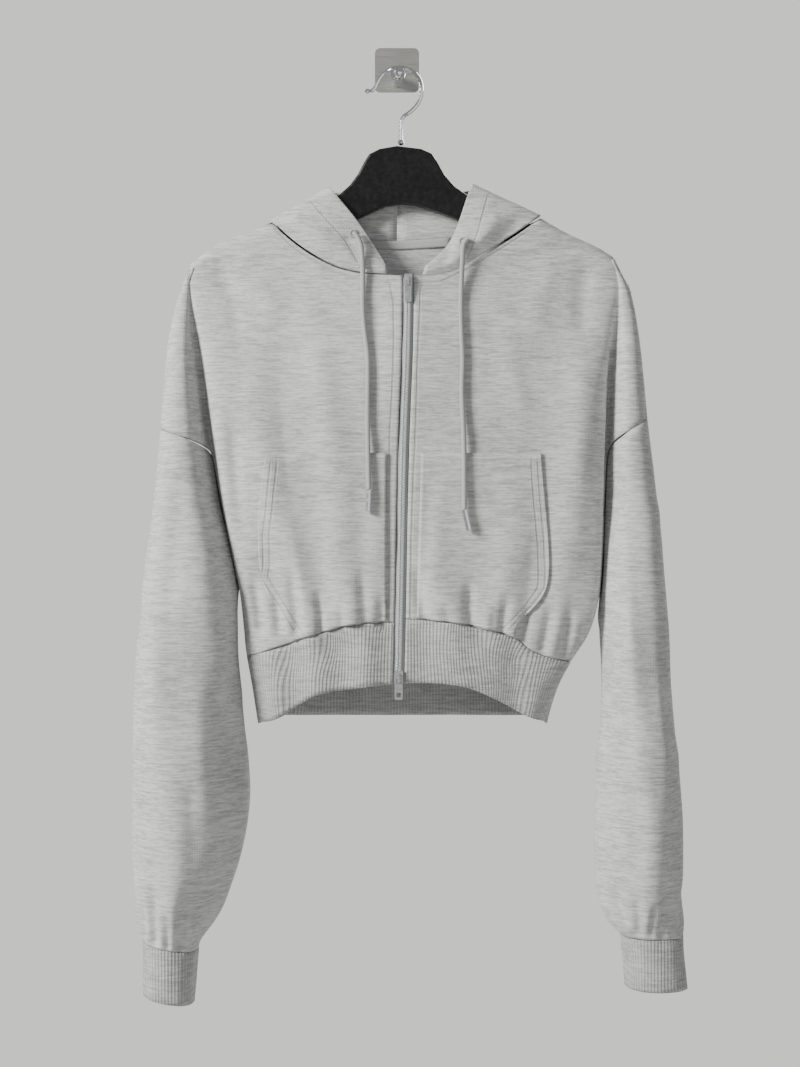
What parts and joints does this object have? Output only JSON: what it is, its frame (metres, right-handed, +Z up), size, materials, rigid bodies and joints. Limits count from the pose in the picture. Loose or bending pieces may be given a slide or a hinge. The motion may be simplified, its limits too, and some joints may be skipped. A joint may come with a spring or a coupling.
{
  "type": "zip up hoodie on a hanger, hung from a wall hook",
  "caption": "Cropped zip up hoodie with patch pockets, rib cuffs and hem and its hood folded back, on a plastic hanger over a square wall hook.",
  "frame": {"origin": "centre of the wall plate's back face, where it is fixed to the wall", "axes": "+Z up the wall, +Y into the wall, the garment's front faces -Y"},
  "size_m": [0.508, 0.1058, 0.8883],
  "materials": {
    "fleece": "light heather grey cotton fleece, matt",
    "rib": "heather grey rib knit, matt",
    "tape": "grey herringbone cotton tape",
    "zip": "grey zip tape with a silvery moulded chain",
    "zip_metal": "satin nickel coloured die casting",
    "cord": "round braided grey cotton cord",
    "tip_metal": "polished metal tip",
    "hanger_plastic": "black moulded plastic, low gloss",
    "hook_wire": "bright plated steel wire",
    "wall_metal": "brushed steel"
  },
  "bodies": {
    "garment": {"front_right": "fleece", "front_left": "fleece", "back": "fleece", "sleeve_right": "fleece", "sleeve_left": "fleece", "cuff_right": "rib", "cuff_left": "rib", "hem_band": "rib", "pocket_right": "fleece", "pocket_left": "fleece", "hood_right": "fleece", "hood_left": "fleece", "neck_tape": "tape", "zip_tape_right": "zip", "zip_tape_left": "zip", "zip_slider_top": "zip_metal", "zip_slider_bottom": "zip_metal", "drawcord_right": "cord", "aglet_right": "tip_metal", "drawcord_left": "cord", "aglet_left": "tip_metal", "hanger": "hanger_plastic", "hanger_hook": "hook_wire", "wall_plate": "wall_metal", "wall_post": "wall_metal"},
    "top_pull": {"zip_pull_top": "zip_metal"},
    "bottom_pull": {"zip_pull_bottom": "zip_metal"}
  },
  "joints": [
    {"name": "top_pull_hinge", "type": "hinge", "parent": "garment", "child": "top_pull", "pos_m": [0.01033, -0.04718, -0.207], "axis": [-1, 0, 0], "range_deg": [0, 160]},
    {"name": "bottom_pull_hinge", "type": "hinge", "parent": "garment", "child": "bottom_pull", "pos_m": [0.00164, -0.08363, -0.5695], "axis": [-1, 0, 0], "range_deg": [0, 160]}
  ]
}
